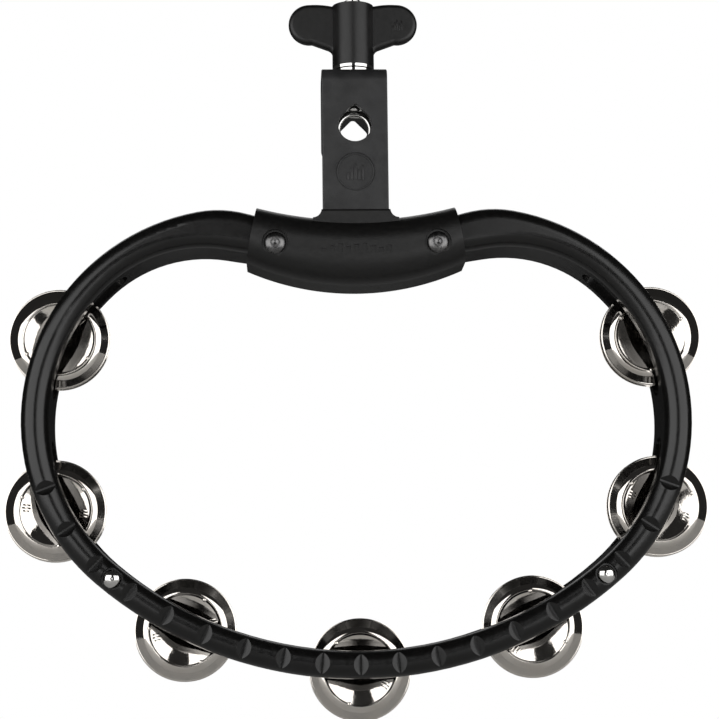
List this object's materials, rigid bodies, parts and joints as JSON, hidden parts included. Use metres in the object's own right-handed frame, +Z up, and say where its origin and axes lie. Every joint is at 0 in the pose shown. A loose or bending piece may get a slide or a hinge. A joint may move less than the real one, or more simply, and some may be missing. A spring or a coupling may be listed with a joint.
{
  "type": "mountable tambourine",
  "caption": "black kidney-shaped tambourine with paired nickel jingles and a steel bracket whose wing nut clamps a stand rod",
  "frame": {"origin": "on the axis of the clamped stand rod, at mid depth, where it crosses the instrument's middle", "axes": "+X to the right along the hoop's width, +Z up the bracket towards the wing nut, +Y along the rod and away from the front face"},
  "size_m": [0.268, 0.0377, 0.2807],
  "materials": {
    "hoop_plastic": "satin",
    "cover_plastic": "satin",
    "wing_plastic": "satin",
    "bracket_steel": "matte",
    "jingle_nickel": "polished",
    "rivet_chrome": "polished",
    "fitting_chrome": "polished",
    "pin_steel": "brushed",
    "screw_steel": "black oxide"
  },
  "bodies": {
    "frame": {"front_hoop": "hoop_plastic", "rear_hoop": "hoop_plastic", "front_cover": "cover_plastic", "rear_cover": "cover_plastic", "cover_screws": "screw_steel", "hoop_rivets": "rivet_chrome", "bracket": "bracket_steel", "washer": "fitting_chrome"},
    "wing_nut": {"wing_nut": "wing_plastic", "wing_nut_insert": "fitting_chrome"},
    "eye_bolt": {"eye_bolt": "fitting_chrome"},
    "pin_1": {"jingle_pin_1": "pin_steel"},
    "front_jingle_1": {"front_jingle_1": "jingle_nickel"},
    "rear_jingle_1": {"rear_jingle_1": "jingle_nickel"},
    "pin_2": {"jingle_pin_2": "pin_steel"},
    "front_jingle_2": {"front_jingle_2": "jingle_nickel"},
    "rear_jingle_2": {"rear_jingle_2": "jingle_nickel"},
    "pin_3": {"jingle_pin_3": "pin_steel"},
    "front_jingle_3": {"front_jingle_3": "jingle_nickel"},
    "rear_jingle_3": {"rear_jingle_3": "jingle_nickel"},
    "pin_4": {"jingle_pin_4": "pin_steel"},
    "front_jingle_4": {"front_jingle_4": "jingle_nickel"},
    "rear_jingle_4": {"rear_jingle_4": "jingle_nickel"},
    "pin_5": {"jingle_pin_5": "pin_steel"},
    "front_jingle_5": {"front_jingle_5": "jingle_nickel"},
    "rear_jingle_5": {"rear_jingle_5": "jingle_nickel"},
    "pin_6": {"jingle_pin_6": "pin_steel"},
    "front_jingle_6": {"front_jingle_6": "jingle_nickel"},
    "rear_jingle_6": {"rear_jingle_6": "jingle_nickel"},
    "pin_7": {"jingle_pin_7": "pin_steel"},
    "front_jingle_7": {"front_jingle_7": "jingle_nickel"},
    "rear_jingle_7": {"rear_jingle_7": "jingle_nickel"}
  },
  "joints": [
    {"name": "wing_nut_turn", "type": "hinge", "parent": "frame", "child": "wing_nut", "pos_m": [0, 0, 0.0372], "axis": [0, 0, -1], "range_deg": [-630, 1170]},
    {"name": "eye_bolt_lift", "type": "slide", "parent": "frame", "child": "eye_bolt", "axis": [0, 0, 1], "range_m": [-0.00219, 0.00406]},
    {"name": "pin_1_spin", "type": "hinge", "parent": "frame", "child": "pin_1", "pos_m": [-0.11382, 0, -0.08004], "axis": [0, 1, 0], "continuous": true},
    {"name": "front_jingle_1_slide", "type": "slide", "parent": "pin_1", "child": "front_jingle_1", "axis": [0, 1, 0], "range_m": [-0.0028, 0.00045]},
    {"name": "rear_jingle_1_slide", "type": "slide", "parent": "pin_1", "child": "rear_jingle_1", "axis": [0, 1, 0], "range_m": [-0.00045, 0.0028]},
    {"name": "pin_2_spin", "type": "hinge", "parent": "frame", "child": "pin_2", "pos_m": [-0.11466, 0, -0.14578], "axis": [0, 1, 0], "continuous": true},
    {"name": "front_jingle_2_slide", "type": "slide", "parent": "pin_2", "child": "front_jingle_2", "axis": [0, 1, 0], "range_m": [-0.0028, 0.00045]},
    {"name": "rear_jingle_2_slide", "type": "slide", "parent": "pin_2", "child": "rear_jingle_2", "axis": [0, 1, 0], "range_m": [-0.00045, 0.0028]},
    {"name": "pin_3_spin", "type": "hinge", "parent": "frame", "child": "pin_3", "pos_m": [-0.06559, 0, -0.19098], "axis": [0, 1, 0], "continuous": true},
    {"name": "front_jingle_3_slide", "type": "slide", "parent": "pin_3", "child": "front_jingle_3", "axis": [0, 1, 0], "range_m": [-0.0028, 0.00045]},
    {"name": "rear_jingle_3_slide", "type": "slide", "parent": "pin_3", "child": "rear_jingle_3", "axis": [0, 1, 0], "range_m": [-0.00045, 0.0028]},
    {"name": "pin_4_spin", "type": "hinge", "parent": "frame", "child": "pin_4", "pos_m": [0, 0, -0.20645], "axis": [0, 1, 0], "continuous": true},
    {"name": "front_jingle_4_slide", "type": "slide", "parent": "pin_4", "child": "front_jingle_4", "axis": [0, 1, 0], "range_m": [-0.0028, 0.00045]},
    {"name": "rear_jingle_4_slide", "type": "slide", "parent": "pin_4", "child": "rear_jingle_4", "axis": [0, 1, 0], "range_m": [-0.00045, 0.0028]},
    {"name": "pin_5_spin", "type": "hinge", "parent": "frame", "child": "pin_5", "pos_m": [0.06559, 0, -0.19098], "axis": [0, 1, 0], "continuous": true},
    {"name": "front_jingle_5_slide", "type": "slide", "parent": "pin_5", "child": "front_jingle_5", "axis": [0, 1, 0], "range_m": [-0.0028, 0.00045]},
    {"name": "rear_jingle_5_slide", "type": "slide", "parent": "pin_5", "child": "rear_jingle_5", "axis": [0, 1, 0], "range_m": [-0.00045, 0.0028]},
    {"name": "pin_6_spin", "type": "hinge", "parent": "frame", "child": "pin_6", "pos_m": [0.11466, 0, -0.14578], "axis": [0, 1, 0], "continuous": true},
    {"name": "front_jingle_6_slide", "type": "slide", "parent": "pin_6", "child": "front_jingle_6", "axis": [0, 1, 0], "range_m": [-0.0028, 0.00045]},
    {"name": "rear_jingle_6_slide", "type": "slide", "parent": "pin_6", "child": "rear_jingle_6", "axis": [0, 1, 0], "range_m": [-0.00045, 0.0028]},
    {"name": "pin_7_spin", "type": "hinge", "parent": "frame", "child": "pin_7", "pos_m": [0.11382, 0, -0.08004], "axis": [0, 1, 0], "continuous": true},
    {"name": "front_jingle_7_slide", "type": "slide", "parent": "pin_7", "child": "front_jingle_7", "axis": [0, 1, 0], "range_m": [-0.0028, 0.00045]},
    {"name": "rear_jingle_7_slide", "type": "slide", "parent": "pin_7", "child": "rear_jingle_7", "axis": [0, 1, 0], "range_m": [-0.00045, 0.0028]}
  ],
  "couplings": [
    {"joint": "wing_nut_turn", "follows": "eye_bolt_lift", "rad_per_m": 5026.5}
  ]
}
